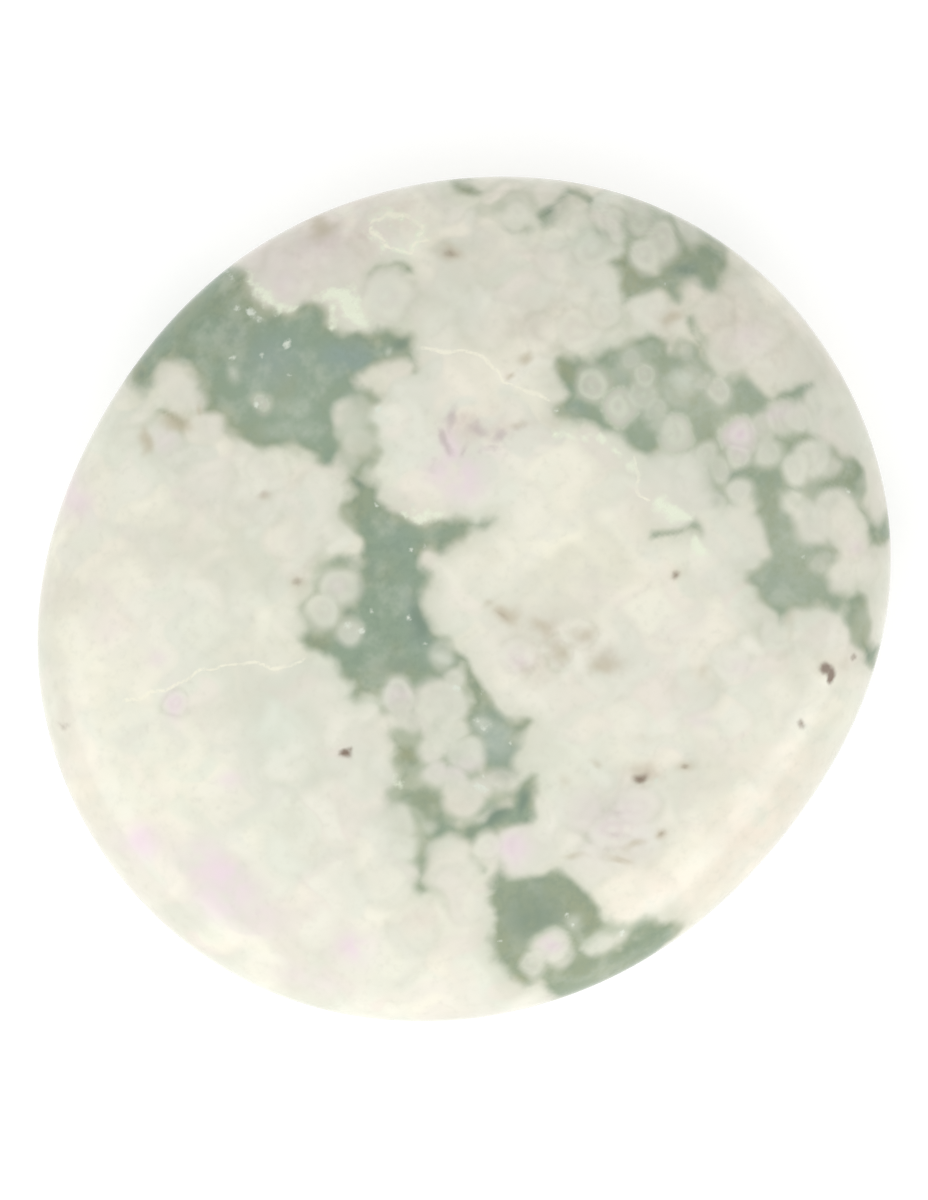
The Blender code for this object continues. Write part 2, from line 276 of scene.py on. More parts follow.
# Balls that are buried in the pale rock, given the same way. They hide the green that shows in
# the gaps between them.
FAINT_BALLS = (
    (12.9, 11.8, 1.3, 0.8, 0.3), (13.8, 12.5, 1.1, 0.7, 0.2), (5.5, 12.7, 1.1, 0.8, 0.5),
    (6.8, 13.55, 0.9, 0.7, 0.3), (4.3, 16.1, 1.1, 0.7, 0.2), (5.9, 14.7, 1.3, 0.8, 0.2),
    (8.85, 13.7, 1, 0.7, 0.3), (11.95, 13.7, 1, 0.7, 0.2), (13.4, 14.1, 1.1, 0.7, 0.1),
    (14.7, 12.5, 1, 0.7, 0.2), (15.05, 11.2, 1.2, 0.8, 0.3), (16.4, 10.8, 1, 0.8, 0.1),
    (17.4, 8.7, 1.4, 0.9, 0.1), (18.7, 7.6, 1.1, 0.8, 0.1), (3, 14.5, 1.4, 0.6, 0.1),
    (1.6, 16.5, 1.3, 0.6, 0.1), (3.7, 12.6, 1, 0.6, 0.2), (1.2, 13.2, 1.5, 0.6, 0.1),
    (-3.6, 14.3, 1.35, 0.8, 0.4), (-0.8, 15.4, 1.4, 0.6, 0.1), (7, 17.6, 0.8, 0.6, 0.4),
    (3.6, 10.7, 0.9, 0.6, 0.3), (-8.3, 14.9, 1.3, 0.7, 0.3), (-6.3, 15.9, 1.4, 0.6, 0.1),
    (-10, 15.9, 0.9, 0.6, 0.1), (7, -11, 1.1, 0.6, 0.7), (8.3, -9.9, 1.1, 0.6, 0.3),
    (6, -12.6, 1, 0.6, 0.1), (5.4, -10, 1.1, 0.6, 0.1), (8.7, -11.8, 1, 0.6, 0.1),
    (-7.9, 2.6, 1.3, 0.6, 0.3), (-13.7, -5, 0.7, 0.4, 0.5), (-7.2, 4.6, 1.3, 0.6, 0.1),
    (-9.2, 6, 1, 0.5, 0.2), (15, -1.9, 1, 0.7, 0.2), (12.7, -3.1, 1, 0.4, 0.2), (2.6, -2.8, 1, 0.5, 0.3),
    (4.7, -2.6, 0.8, 0.4, -0.6), (5.7, -1.7, 0.7, 0.4, 0.3), (11, -4.6, 1.1, 0.4, 0.1),
    (-4.6, -7, 1.2, 0.8, 0.1), (-12, 5.6, 1.4, 0.6, 0.1), (-10.2, 4.4, 1.2, 0.5, 0.1),
    (19.5, 1, 0.8, 0.8, 0.1), (-8.2, 0.6, 1.1, 0.6, 0.1), (-8.2, -1.2, 0.9, 0.5, 0.1),
    (-4.7, -10.2, 1.3, 0.6, 0.1), (-3.9, -8.3, 0.9, 0.8, 0.1), (-3.6, -13.4, 1.4, 0.6, 0.1),
    (-2.3, -15.6, 1.3, 0.6, 0.1), (0.2, -14.6, 0.9, 0.8, 0.1), (16.9, -1.6, 1.1, 0.7, 0.1),
    (11.6, -7, 1.2, 0.4, 0.1), (14.2, 10.7, 0.7, 0.5, 0.1), (10.1, 13.2, 0.7, 0.5, 0.1),
)

# Where the green is thin, so that it shows only between the balls, each edge as above.
THIN_PATCHES = (
    (
        (9.5, 8.8), (12, 9.3), (14.4, 9.3), (16.7, 9.9), (17.2, 9), (16.8, 8), (17.4, 7.2), (18.4, 6.4),
        (19, 5), (17, 5.6), (15.4, 5.4), (14.3, 5.9), (13.4, 4.5), (12.7, 3.9), (11.5, 4.5), (11.2, 5.8),
        (10.6, 6.8), (9.5, 6.8), (8.9, 7.6),
    ),
    ((7.4, 17.2), (8, 18.4), (9.4, 18.2), (11.6, 17.4), (13, 16.2), (12.2, 15), (9.6, 15.4), (7.6, 15.8)),
    ((-5.6, 9.4), (-4.4, 10.2), (-4.2, 8.2), (-4, 6.6), (-4.4, 5.4), (-5.4, 5.8), (-6.2, 6.6), (-6.1, 8)),
    ((-6.2, 1.9), (-5, 2), (-5, -0.2), (-5.6, -1.4), (-7.4, -1.6), (-7.9, -0.4), (-7.3, 0.6)),
    (
        (-3.9, -4.6), (-0.4, -3.2), (0.6, -4.6), (0.2, -6.6), (1, -8.6), (2.9, -8.8), (1.2, -10.4),
        (-0.6, -10.8), (-1.5, -12.2), (-3, -12), (-3.8, -10), (-3.6, -8), (-3.4, -6.4),
    ),
    (
        (5.6, -14.5), (6.6, -14.9), (7.6, -15.7), (9.2, -15.3), (9.6, -15.8), (8, -17.2), (6, -17.2),
        (5.4, -16.4),
    ),
    (
        (13.4, 11.2), (12.6, 10.8), (11.7, 11.2), (11.2, 12.4), (10.6, 13.2), (11, 13.2), (11.8, 12.2),
        (12.6, 11.3),
    ),
)

# Stains and clouds: place, half sizes along and across, turn in degrees, and strength. The veils
# are where the pale rock is thin, and green shows faintly in the gaps between its buried balls.
VEILS = (
    (11.5, 8.5, 6, 3.3, -30, 0.95), (16.3, 3.5, 2.6, 5, 10, 0.8), (7.5, 17, 5, 2, -20, 0.85),
    (2.5, 18.4, 3.5, 1, -5, 0.7), (10, 15, 4, 2.2, -10, 0.7), (-6.4, 0.2, 1.6, 2.6, 0, 0.75),
    (-7.2, -2, 1.2, 0.8, 0, 0.7), (-1.9, -6.8, 2.6, 3, 0, 0.9), (-0.4, -9.8, 3.2, 2.2, 0, 0.9),
    (-1.3, -12.8, 1.8, 2, 0, 0.7), (-13.6, 8.2, 1.9, 1.9, 0, 0.75), (-5.2, 7.6, 1.4, 2, 0, 0.9),
    (5, -12.4, 2.6, 1.4, 0, 0.3), (-3.2, 14.6, 2.2, 1.4, 0, 0.4), (13.5, 12.3, 2.2, 2.2, 0, 0.25),
    (5.4, 12.9, 2.5, 1.2, 0, 0.4), (-7.8, -8, 2, 2.2, 0, 0.2), (10.3, 3.2, 1.8, 1, 0, 0.5),
    (14.5, -1.6, 1.5, 1.2, 0, 0.35), (7, -10.5, 3, 2, 0, 0.35), (6, 13.3, 5, 2.5, 0, 0.45),
    (1.5, 16, 4, 2.5, 0, 0.3), (-7, 16, 4, 1.5, 25, 0.3), (18.2, 6, 1.5, 5, 10, 0.4),
    (-9.5, 3, 4, 4, 0, 0.15), (4.5, -2.5, 3, 1.6, -20, 0.25),
)
MILKY_CLOUDS = (
    (-8, 9, 1.6, 1, 0, 0.45), (-8.3, 8, 2.4, 1, 0, 0.4), (-5.4, 8.2, 0.8, 1.6, 0, 0.75),
    (-4.7, 9.3, 0.5, 0.4, 0, 0.45), (-10.8, 10.6, 0.3, 0.45, 0, 0.5), (-7.7, 12.3, 0.5, 0.5, 0, 0.25),
    (-4.5, 6.1, 0.4, 0.5, 0, 0.5), (-3.4, 11.7, 0.25, 0.3, 0, 0.6), (-1, -2.8, 0.8, 0.4, 0, 0.75),
    (0.9, -5.95, 0.5, 0.4, 0, 0.5), (1.7, -6.8, 1.2, 1.4, 0, 0.45), (-2.2, 3.3, 0.9, 0.4, 0, 0.2),
    (-2.9, 0.6, 0.9, 0.9, 0, 0.12), (10.4, 10.2, 1.2, 0.9, -30, 0.75), (15, 0.4, 0.9, 0.6, 0, 0.3),
    (17, 1.5, 0.5, 0.5, 0, 0.5), (14.9, 3, 0.5, 0.8, 0, 0.2), (8, 14.9, 0.7, 1, 0, 0.3),
    (12.3, 15.4, 0.5, 0.7, 0, 0.35), (5.3, -15.4, 0.5, 0.5, 0, 0.4), (5.9, -16.3, 0.6, 0.5, 0, 0.4),
    (6.8, -18, 2.5, 0.9, 25, 0.25), (-1.6, -12, 0.3, 0.5, 0, 0.4), (-2.6, -9.6, 0.6, 0.4, 0, 0.35),
    (-1.4, -10.2, 0.4, 0.5, 0, 0.3), (9.6, 11.4, 0.4, 0.8, 0, 0.15), (-12.3, 13.4, 1.2, 0.5, 45, 0.1),
    (16.1, 9.7, 0.8, 0.5, 0, 0.3), (18.4, 6.2, 0.7, 0.5, -35, 0.35), (19, 4.6, 0.3, 0.8, 0, 0.45),
    (19.1, -1.6, 0.6, 2, 0, 0.45), (-8.5, 9.5, 4.5, 4, 0, 0.25), (11, 9.5, 6, 3.5, 0, 0.42),
    (16, 2.5, 4, 5.5, 0, 0.4), (10, 15.3, 4, 2, 0, 0.25),
)
BLUE_TINTS = (
    (-9, 11.3, 1.5, 1.3, 0, 0.8), (-5.4, 11.4, 1.6, 0.8, 0, 1), (-10.7, 12.5, 0.8, 0.6, 0, 0.5),
    (-2.2, -1, 0.6, 1.7, 15, 0.7), (15.1, 0.6, 1.2, 0.7, 0, 0.6), (12.8, 6, 0.4, 0.3, 0, 0.6),
    (5.3, 8.9, 0.7, 0.4, 0, 0.6), (2.1, -9, 0.8, 0.7, 0, 0.7), (0.3, -7.5, 0.7, 0.7, 0, 0.6),
    (-5.4, -1.7, 0.7, 0.6, 0, 0.4), (-3.2, 3, 0.8, 1.5, 25, 0.3), (1.5, -6.8, 1.2, 1.6, 0, 0.8),
    (15.6, 4.7, 0.5, 0.4, 0, 0.5), (7.4, 10.5, 0.4, 0.5, 0, 0.6), (-6, 0.5, 0.7, 0.7, 0, 0.3),
    (3.5, -14.3, 1.5, 0.8, 0, 0.2), (8, 11.4, 0.5, 0.5, 0, 0.5),
)
OLIVE_TINTS = (
    (8, 15.2, 1, 1.3, 0, 1), (-2.75, -7.4, 0.9, 0.9, 0, 1), (4.8, 10.7, 0.8, 0.6, 0, 0.8),
    (6.1, -15.3, 0.8, 1.3, 0, 0.8), (2.7, -18.2, 0.9, 0.6, 0, 1), (14.6, 4.4, 1.1, 1.6, 0, 0.7),
    (-13.8, 8.4, 1, 0.5, 0, 1), (-15, 7.5, 0.4, 0.6, 0, 1), (-15, 10.2, 0.3, 0.6, 0, 0.9),
    (-6.9, -2, 0.9, 0.6, 0, 0.8), (-3.2, -3.6, 1.5, 0.5, 0, 0.6), (9.3, 6.9, 0.5, 0.5, 0, 0.8),
    (10.8, 9.6, 1.3, 0.9, -30, 0.9), (-7.2, 13.9, 0.5, 0.3, 0, 0.8), (-5, 3.6, 0.3, 1.4, 0, 0.5),
    (18, 5.4, 1.4, 0.8, 0, 0.5), (11.2, 11.8, 0.3, 0.8, 25, 1), (0.4, 19.1, 0.9, 0.4, 0, 0.9),
    (-3.3, 15.7, 1, 0.3, 0, 1), (12.3, 15.3, 0.6, 0.6, 0, 0.7), (0, -11.3, 1, 0.4, 0, 0.5),
    (-1.4, -10, 0.8, 1, 0, 0.6), (10.3, 3.1, 1.3, 0.4, 0, 0.6), (2.5, 17.3, 0.8, 0.3, 0, 0.8),
    (7.6, 16.2, 0.5, 0.4, 0, 1), (17.9, 2.1, 0.5, 0.4, 0, 0.9), (-1.4, -7.7, 1, 0.3, 0, 0.9),
    (11.5, 9, 6, 4, -30, 0.45), (16.5, 3, 4, 6, 0, 0.45), (4, -16, 5, 4, 0, 0.75),
    (9.5, 15.5, 4, 2, 0, 0.5), (-2, -9, 1.5, 3, 0, 0.4), (0.7, -12.6, 0.4, 0.5, 0, 0.8),
    (17, 1.6, 0.5, 0.5, 0, 0.7), (19.2, -1.8, 0.9, 2.4, 0, 0.9),
)
DEEP_TINTS = (
    (-2.1, -1.2, 0.6, 1.3, 15, 0.8), (10.6, 15.5, 0.9, 0.5, 0, 0.8), (1.5, -10.4, 0.9, 0.5, 25, 0.9),
    (2.9, -9.7, 0.3, 0.8, -20, 0.9), (2.6, -15.4, 0.8, 1.6, 0, 0.4), (-5, 5.4, 0.4, 0.6, 0, 0.7),
    (-3, 12.1, 0.6, 0.6, 0, 0.7), (-14.4, 11.5, 0.5, 1.2, -40, 0.8), (4.5, 18.3, 0.8, 0.5, 45, 0.8),
    (13.5, 9.7, 0.8, 0.6, 0, 0.4), (-6.4, 6.8, 0.5, 0.5, 0, 0.4), (-4.4, 1.5, 0.5, 1.6, 0, 0.4),
    (0.4, -11.2, 0.5, 0.4, 0, 0.5), (12.1, 4.85, 0.4, 0.4, 0, 0.7), (6.7, 17.2, 0.5, 0.3, 0, 0.7),
    (-5.5, 11.3, 1.2, 0.7, 0, 0.3), (-0.8, 2.9, 0.8, 0.6, 30, 0.4), (0.9, 3.5, 0.6, 0.3, 10, 0.5),
    (-5.6, -0.6, 0.4, 0.4, 0, 0.6), (19.6, -3.2, 0.4, 0.8, 0, 0.7), (3.8, -13.5, 0.8, 0.4, 0, 0.5),
    (-14.95, 10.1, 0.2, 0.4, 0, 0.8), (-13.7, 8.4, 0.8, 0.3, 0, 0.6), (-3, -3.3, 1.3, 0.7, 0, 0.5),
    (3.4, -15.2, 2.2, 2, 0, 0.65),
)
LAVENDER_STAINS = (
    (-0.3, 5.7, 1.4, 1.2, 0, 0.95), (-0.6, 6.9, 0.6, 1.2, 0, 0.8), (-18, 4.3, 0.8, 1.1, 0, 0.6),
    (-14.6, -2.9, 0.6, 0.5, 0, 0.4), (-13.7, -5.1, 0.4, 0.9, 10, 0.9), (-15.2, -11.7, 1, 0.9, 0, 1),
    (-11.4, -13.2, 2.2, 1.1, -40, 1), (-11.5, -14.6, 1.6, 0.8, -35, 0.75), (-9.8, -15.2, 1.4, 0.9, 0, 0.6),
    (-5.2, -16.6, 1, 0.9, 0, 0.9), (-11, -8.7, 0.6, 0.4, 0, 0.5), (7.1, -10.6, 2.3, 1.8, 0, 0.45),
    (2.4, -11.9, 0.7, 0.8, 0, 1.1), (13.1, 7.6, 0.75, 0.75, 0, 1.2), (4.2, -16.5, 0.45, 0.4, 0, 0.9),
    (18.8, 2.3, 0.4, 0.5, 0, 0.6), (14.9, 8.7, 0.8, 0.4, 15, 0.6), (11.2, -5.8, 0.6, 0.5, 0, 0.4),
    (13.6, 12.3, 1, 0.8, 0, 0.35), (-8.4, 14.9, 0.7, 0.8, 0, 0.4), (-3, -4.6, 0.5, 0.5, 0, 0.6),
    (13.4, -3.3, 0.8, 0.5, 0, 0.3), (-16.7, -1.5, 1, 1, 0, 0.25), (6.9, -9.3, 1, 0.6, 0, 0.3),
    (-6, 0.6, 0.5, 0.5, 0, 0.3), (2.7, -2.9, 0.7, 0.5, 0, 0.5), (1.3, 6.9, 0.8, 0.4, 0, 0.4),
    (-7, -18.3, 2, 0.7, -15, 0.4), (-7.5, 16.3, 3.5, 1.2, 25, 0.35), (-14, 7.4, 0.8, 0.7, 0, 0.4),
    (0.2, -8.1, 2.2, 0.6, 0, 0.35),
)
BEIGE_STAINS = (
    (13, 13, 3.5, 2.5, -40, 0.5), (-6, 16.6, 3.5, 1.3, 25, 0.8), (3.5, 13.2, 2.2, 1.8, 0, 0.45),
    (1.1, 8, 2.2, 1, 0, 0.95), (4.2, -2.2, 2.8, 1.5, -20, 0.8), (2.1, -0.9, 0.6, 0.4, -30, 0.8),
    (4.7, -2.7, 0.5, 0.6, -30, 0.9), (6.7, -3.1, 0.9, 0.6, 0, 0.5), (1.7, 7.7, 0.4, 0.3, 0, 0.9),
    (3, 11.4, 0.35, 0.6, -15, 0.8), (2.1, 10.6, 0.35, 0.4, 0, 0.7), (8.6, -8.5, 0.7, 0.4, 0, 0.5),
    (7.5, -12.3, 1.1, 0.35, 0, 0.5), (5.3, -12.3, 0.8, 0.35, 0, 0.4), (16.1, -1.6, 1.6, 1.2, 0, 0.35),
    (9.6, 13.5, 0.6, 0.6, 0, 0.7), (0.8, 7.9, 0.5, 0.4, 0, 0.6), (3.8, 7.6, 0.4, 0.4, 0, 0.5),
    (17.3, 13.5, 2, 3, 30, 0.3), (5, 16.2, 1.6, 0.8, 0, 0.35), (0.5, 17.3, 1, 0.6, 0, 0.5),
    (-0.6, 16.4, 0.5, 0.3, 0, 0.8), (-1.9, -15.2, 0.8, 0.4, 20, 0.5), (14.3, 11.6, 1, 0.9, 0, 0.3),
    (17.8, 3.2, 1.2, 1, 0, 0.3), (8, 4.9, 0.2, 1, 0, 0.35), (9.5, -11.2, 0.4, 0.3, 0, 0.8),
    (0.4, -9.6, 2.4, 0.8, 0, 0.3),
)
# Cream tints: the rock's own tone, and on the lower rim a painted highlight band where it is lit
CREAM_TINTS_AND_RIM_SHEEN = (
    (-15.5, -7, 3.5, 7, 20, 0.5), (-4, -17.5, 8, 3, 0, 0.3), (11.5, -11.5, 6, 3, 45, 0.7),
    (5.5, 1.8, 4.5, 3, 0, 1.2), (13.5, 13, 4, 2.5, -40, 0.5), (17, -5, 2.5, 3, 0, 0.5),
    (-11, 1.5, 2.5, 2.5, 0, 0.3), (6, -6, 3, 2, 0, 0.4), (-8.5, 6, 1.5, 1, 0, 0.3),
    (16, -7, 2, 3.5, -25, 0.6), (-18, -2, 1.5, 4, 0, 0.5),
)
# Warm tints: the rock's own tone, and on the lower left and lower right rim a painted highlight band
WARM_TINTS_AND_RIM_SHEEN = (
    (14, -11, 5.5, 2, 47, 1), (9, -14.2, 2.5, 1.2, 25, 0.8), (-1.9, -15.2, 1.2, 0.7, 40, 0.8),
    (12.5, 13, 4, 2, -35, 0.8), (5, 13, 2.6, 1.6, 0, 0.6), (15.2, 10.8, 1.8, 1.5, -40, 0.7),
    (-6.5, 16.8, 4, 1.3, 25, 0.5), (1, 15.6, 2.5, 1.2, 0, 0.4), (18.2, 2.6, 1.2, 2, 0, 0.5),
    (9, 3, 1, 2, 0, 0.4), (-17.5, -9.5, 1, 2.5, 15, 0.4), (3.2, -2.8, 2, 1.2, 0, 0.5),
    (8, -12.8, 2.5, 1, 0, 0.4), (-12, 1.5, 2, 1.5, 0, 0.3), (0.4, -9.8, 2.6, 1.1, 0, 0.8),
)
PALE_GREEN_TINTS = (
    (1, 14.5, 2.5, 2.2, 0, 0.5), (-9, -7, 2.5, 2.5, 0, 0.6), (9.5, -3, 2.5, 2.5, 0, 0.4),
    (-12.3, 5, 1.8, 1.2, 0, 0.5), (9.8, 8, 3.5, 3.5, 0, 0.5), (-9, -1.5, 2, 1.5, 0, 0.4),
    (3, 17.8, 1.5, 1, 0, 0.6), (9.8, -5, 1.2, 1, 0, 0.4), (4.5, -7, 1.5, 2, 0, 0.4),
    (-3.5, 14.2, 1.4, 1.2, 0, 0.7), (-3, -9.5, 1, 4, 0, 0.4), (6.5, 17, 2.5, 1, -15, 0.8),
    (16.8, 8.8, 1, 2.5, 10, 0.4), (-16, 6.5, 1.2, 1.8, 0, 0.3), (-7.6, -8.3, 1.2, 1.2, 0, 0.4),
)

# Where the two rocks meet, and along a few healed cracks, thin lines show bright and cream, given
# as the streaks are: the edges and cracks are real, and their brightness is a painted glint. One of
# the cracks closes on itself, and a painted glint runs all round it.
RING = (
    (-4.25, 17.6, 0.08), (-3.8, 17.65, 0.12), (-3.35, 18, 0.15), (-2.9, 17.85, 0.1), (-2.4, 17.95, 0.12),
    (-1.85, 17.6, 0.1), (-1.95, 17.2, 0.14), (-1.7, 16.9, 0.08), (-2.2, 16.75, 0.14), (-2.45, 16.3, 0.08),
    (-3, 16.45, 0.13), (-3.65, 16.7, 0.1), (-3.95, 17.05, 0.06), (-4.3, 17.2, 0.1), (-4.25, 17.6, 0.08),
)
CRUST_GLINTS = (
    RING,
    ((-9.95, 15, 0.1), (-9.7, 14.5, 0.18), (-9.3, 14.1, 0.2), (-8.7, 13.85, 0.2), (-8.1, 13.85, 0.14)),
    ((-2.6, 3.75, 0.08), (-2, 3.93, 0.17), (-1.4, 4, 0.13), (-1, 4.1, 0.05)),
    ((-7, 14.3, 0.12), (-6.3, 14.4, 0.3), (-5.6, 14.3, 0.45), (-5.3, 13.7, 0.45), (-4.7, 13.2, 0.25)),
    ((-6.3, 13.6, 0.12), (-6.25, 13, 0.08)),
    ((11, 2.7, 0.15), (11.3, 2.3, 0.3), (11.5, 2.05, 0.1)),
    ((9.2, 4.4, 0.2), (10, 4.1, 0.35), (10.8, 3.8, 0.15)),
    ((-3.1, -8.6, 0.1), (-3, -8.8, 0.1)),
    ((8, 6.3, 0.15), (8.1, 6, 0.1)),
    ((4.3, 7.9, 0.05), (6, 7.65, 0.1), (7.3, 7, 0.12)),
)
# The healed cracks, real lines whose bright cream is a painted glint
CRACK_GLINTS = (
    (
        (-2, 11.7), (-1.2, 11.8), (-0.4, 11.7), (0.1, 11.85), (0.5, 11.6), (1.1, 11.1), (1.6, 10.8),
        (1.8, 10.2), (2.5, 10), (3.05, 9.8), (3.7, 9.7), (4.2, 9.4),
    ),
    (
        (-16.2, -5), (-14.7, -4.5), (-13.5, -4), (-12.3, -3.3), (-10.6, -3.15), (-8.9, -3.25), (-8.2, -3.2),
        (-7.45, -2.85),
    ),
    ((8.1, 6.6), (8.25, 6), (8.15, 5.4), (8.4, 4.9), (8.7, 4.6)),
)

# Painted glints in the green, where small fractures inside it catch the light: place and radius.
GLINT_FLECKS = (
    (0.7, -5.9, 0.13), (1, -6.2, 0.11), (1.25, -5.95, 0.08), (2.2, -7, 0.08), (0.85, -9, 0.14),
    (-8.35, 12.05, 0.17), (-9.5, 11.5, 0.11), (-10.95, 11.45, 0.13), (-10.5, 13.6, 0.14),
    (-9.95, 13.4, 0.18), (-9.7, 13.25, 0.14), (-10.7, 14.7, 0.08), (-8.1, 10.5, 0.1), (-9.75, 9.1, 0.18),
    (-3.9, 9, 0.22), (-2.35, 4.4, 0.1), (-2.6, 2.3, 0.12), (-2.6, -1.05, 0.12), (-1.85, -2.3, 0.09),
    (-4.2, -0.6, 0.1), (-4.9, -1.6, 0.22), (-0.35, -4.35, 0.16), (0.95, -4.45, 0.09), (0.95, -9.08, 0.15),
    (0.65, -8.95, 0.12), (0.95, -8.5, 0.09), (9.15, -8.65, 0.14), (9.6, 14.85, 0.09), (16.2, 1.9, 0.1),
    (18.5, 4.9, 0.12), (5.35, -15.5, 0.12), (4.95, -15.15, 0.12), (1.65, -16.2, 0.09), (7.7, -16.1, 0.16),
    (4.5, 8.8, 0.13), (-5.5, -1.25, 0.15), (-1.85, 2.35, 0.1), (-4.2, 4.5, 0.1),
)

# The last stains are small: earthy spots, strokes in the pink places, and dark brown specks.
TAN_SPOTS = (
    (-13.7, 8.35, 0.9, 0.45, -10, 0.9), (-15, 7.4, 0.35, 0.7, 0, 0.9), (2.1, -0.8, 0.8, 0.45, -25, 0.8),
    (1.3, -0.35, 0.35, 0.3, -25, 0.6), (4.7, -2.6, 0.8, 0.8, 0, 0.8), (6.6, -3.2, 0.9, 0.5, 0, 0.7),
    (3.7, -1.4, 0.9, 0.5, -30, 0.6), (5.6, -1.7, 0.9, 0.5, 0, 0.5), (3, -3.4, 0.9, 0.5, 0, 0.4),
    (2.6, 8.2, 0.5, 0.3, 0, 0.6), (3, 11.4, 0.25, 0.55, -15, 0.9), (2.3, 10.6, 0.4, 0.2, 30, 0.8),
    (6.3, -7.8, 0.4, 0.3, 0, 0.6), (8.2, -11.6, 0.7, 0.25, 20, 0.7), (7.4, -12.4, 0.9, 0.25, -10, 0.8),
    (5.2, -12.3, 0.8, 0.25, 0, 0.7), (15.6, -1.4, 0.35, 0.8, 0, 0.6), (11.4, -3.5, 0.5, 0.4, 0, 0.45),
    (10, 13.4, 0.6, 0.4, 20, 0.7), (-12.4, 9, 0.2, 0.4, 0, 0.6), (-7.75, 0.65, 0.6, 0.5, 0, 0.6),
    (-9.4, 4.8, 0.5, 0.3, 0, 0.6), (-0.6, 16.4, 0.8, 0.5, -25, 0.7), (-6.5, 17.3, 0.8, 0.4, 25, 0.7),
    (8.5, -8.4, 0.9, 0.6, 0, 0.5), (10.6, -7.95, 0.5, 0.4, 0, 0.7), (9.5, -11.2, 0.5, 0.3, 30, 0.8),
    (4.9, -8.7, 0.5, 0.4, 0, 0.5), (17.5, -3.3, 1.2, 0.6, 0, 0.35), (14.3, 11.5, 0.6, 0.5, 0, 0.4),
    (10.1, 1.1, 0.6, 0.5, 0, 0.5), (5.3, 14.9, 0.5, 0.5, 0, 0.3), (8.9, -6.6, 1.6, 0.4, 0, 0.35),
)
MAUVE_STROKES = (
    (-0.5, 8.5, 0.25, 0.8, -10, 0.9), (-0.9, 7.4, 0.25, 0.8, 25, 1), (0.1, 7.1, 0.2, 0.6, -20, 0.7),
    (1.7, 7.7, 0.7, 0.4, 20, 0.9), (0.7, 8, 0.6, 0.4, 0, 0.8), (1.3, 7.1, 0.8, 0.3, 10, 0.5),
    (2.6, 8.1, 0.6, 0.3, 0, 0.5), (-9.4, 4.9, 0.4, 0.3, 0, 0.5), (-1.3, 6.2, 0.2, 0.6, 20, 0.4),
    (7.2, -10.2, 0.9, 0.25, 10, 0.4), (7.4, -11.3, 0.8, 0.2, -10, 0.4), (12.9, -6.6, 0.8, 0.3, 30, 0.25),
    (2.9, -3.2, 0.8, 0.5, 0, 0.4),
)
BROWN_SPECKS = (
    (-5.6, -7.45, 0.36, 0.28, 20, 1.2), (-5.35, -7.15, 0.2, 0.16, 0, 0.8),
    (17.35, -3.4, 0.38, 0.28, -25, 1.4), (17.72, -3.95, 0.24, 0.38, 0, 1.5),
    (17.6, -3.6, 0.22, 0.22, 0, 1.3), (18.7, -3.1, 0.28, 0.28, 0, 0.85), (16.2, -6.1, 0.28, 0.28, 0, 0.85),
    (10.6, -7.95, 0.28, 0.22, 0, 0.7), (8.4, -8.55, 0.45, 0.25, 20, 1), (9.5, -11.2, 0.3, 0.2, 30, 0.6),
    (-18.6, -6.5, 0.35, 0.4, 0, 0.55), (-7.75, 0.65, 0.35, 0.3, 0, 0.65), (10.1, 1.1, 0.34, 0.3, 0, 0.8),
    (-0.65, 16.4, 0.5, 0.28, -25, 0.6), (1.9, -0.8, 0.4, 0.2, -25, 0.45),
)

# The underside isn't in the photograph. Its green goes on from where the patches reach the rim.
UNDER_STREAKS = (
    (
        (-16, 12.5, 1.6), (-12.5, 11.5, 2.6), (-8.5, 9, 0.9), (-7, 5.5, 1.8), (-8.5, 2.5, 0.3),
        (-11.5, 0.5, 1.3),
    ),
    (
        (7.5, -17.5, 1.5), (5.5, -14, 2.2), (6.5, -10.5, 0.2), (5, -6.5, 1.9), (1.5, -4.5, 0.4),
        (-1.5, -5.5, 1),
    ),
    ((20, 2.6, 0.9), (16.5, 3, 1.9), (13.5, 5.5, 0.3), (10, 8, 2.3), (10.5, 12, 0.5), (12.5, 16, 1.5)),
    ((5, -6.5, 1), (9, -4.5, 0.3), (11, -4.8, 0.9)),
    ((10, 8, 1.2), (6, 7, 0.2), (3.5, 8.5, 0.9)),
    ((-12.5, 11.5, 1.5), (-10, 14.5, 0.8), (-5.5, 15.5, 0.2), (-3, 16.5, 0.7)),
    ((-14, -9, 0.5), (-12, -10.5, 1), (-8.5, -11.8, 0.2)),
)
UNDER_LAVENDER = ((-3, 1.5, 1.5, 0.9, 20, 0.8), (9, -1.5, 1.2, 0.8, 0, 0.6), (-9, -15, 1.4, 0.8, -30, 0.8))
UNDER_BEIGE = ((1, 10, 3, 2, 30, 0.6), (12, -6, 3, 2, 40, 0.5), (-14, 4, 1.5, 2.5, 0, 0.5))
UNDER_BALLS = 260
UNDER_REACH = 20.5  # they lie within this of the middle
random.seed(7)


def rounded(edge):
    """The edge of a patch with every corner cut once, so that it reads as grown and not as drawn."""
    corners = []
    for here, there in zip(edge, edge[1:] + edge[:1]):
        for share in (0.25, 0.75):
            corners.append([a + share * (b - a) for a, b in zip(here, there)])
    return corners


def along_and_away(u, v, start, end):
    """How far along the line between two places each point is, from 0 to 1, and how far from it."""
    du, dv = end[0] - start[0], end[1] - start[1]
    share = np.clip(((u - start[0]) * du + (v - start[1]) * dv) / (du * du + dv * dv), 0.0, 1.0)
    return share, np.hypot(u - start[0] - share * du, v - start[1] - share * dv)


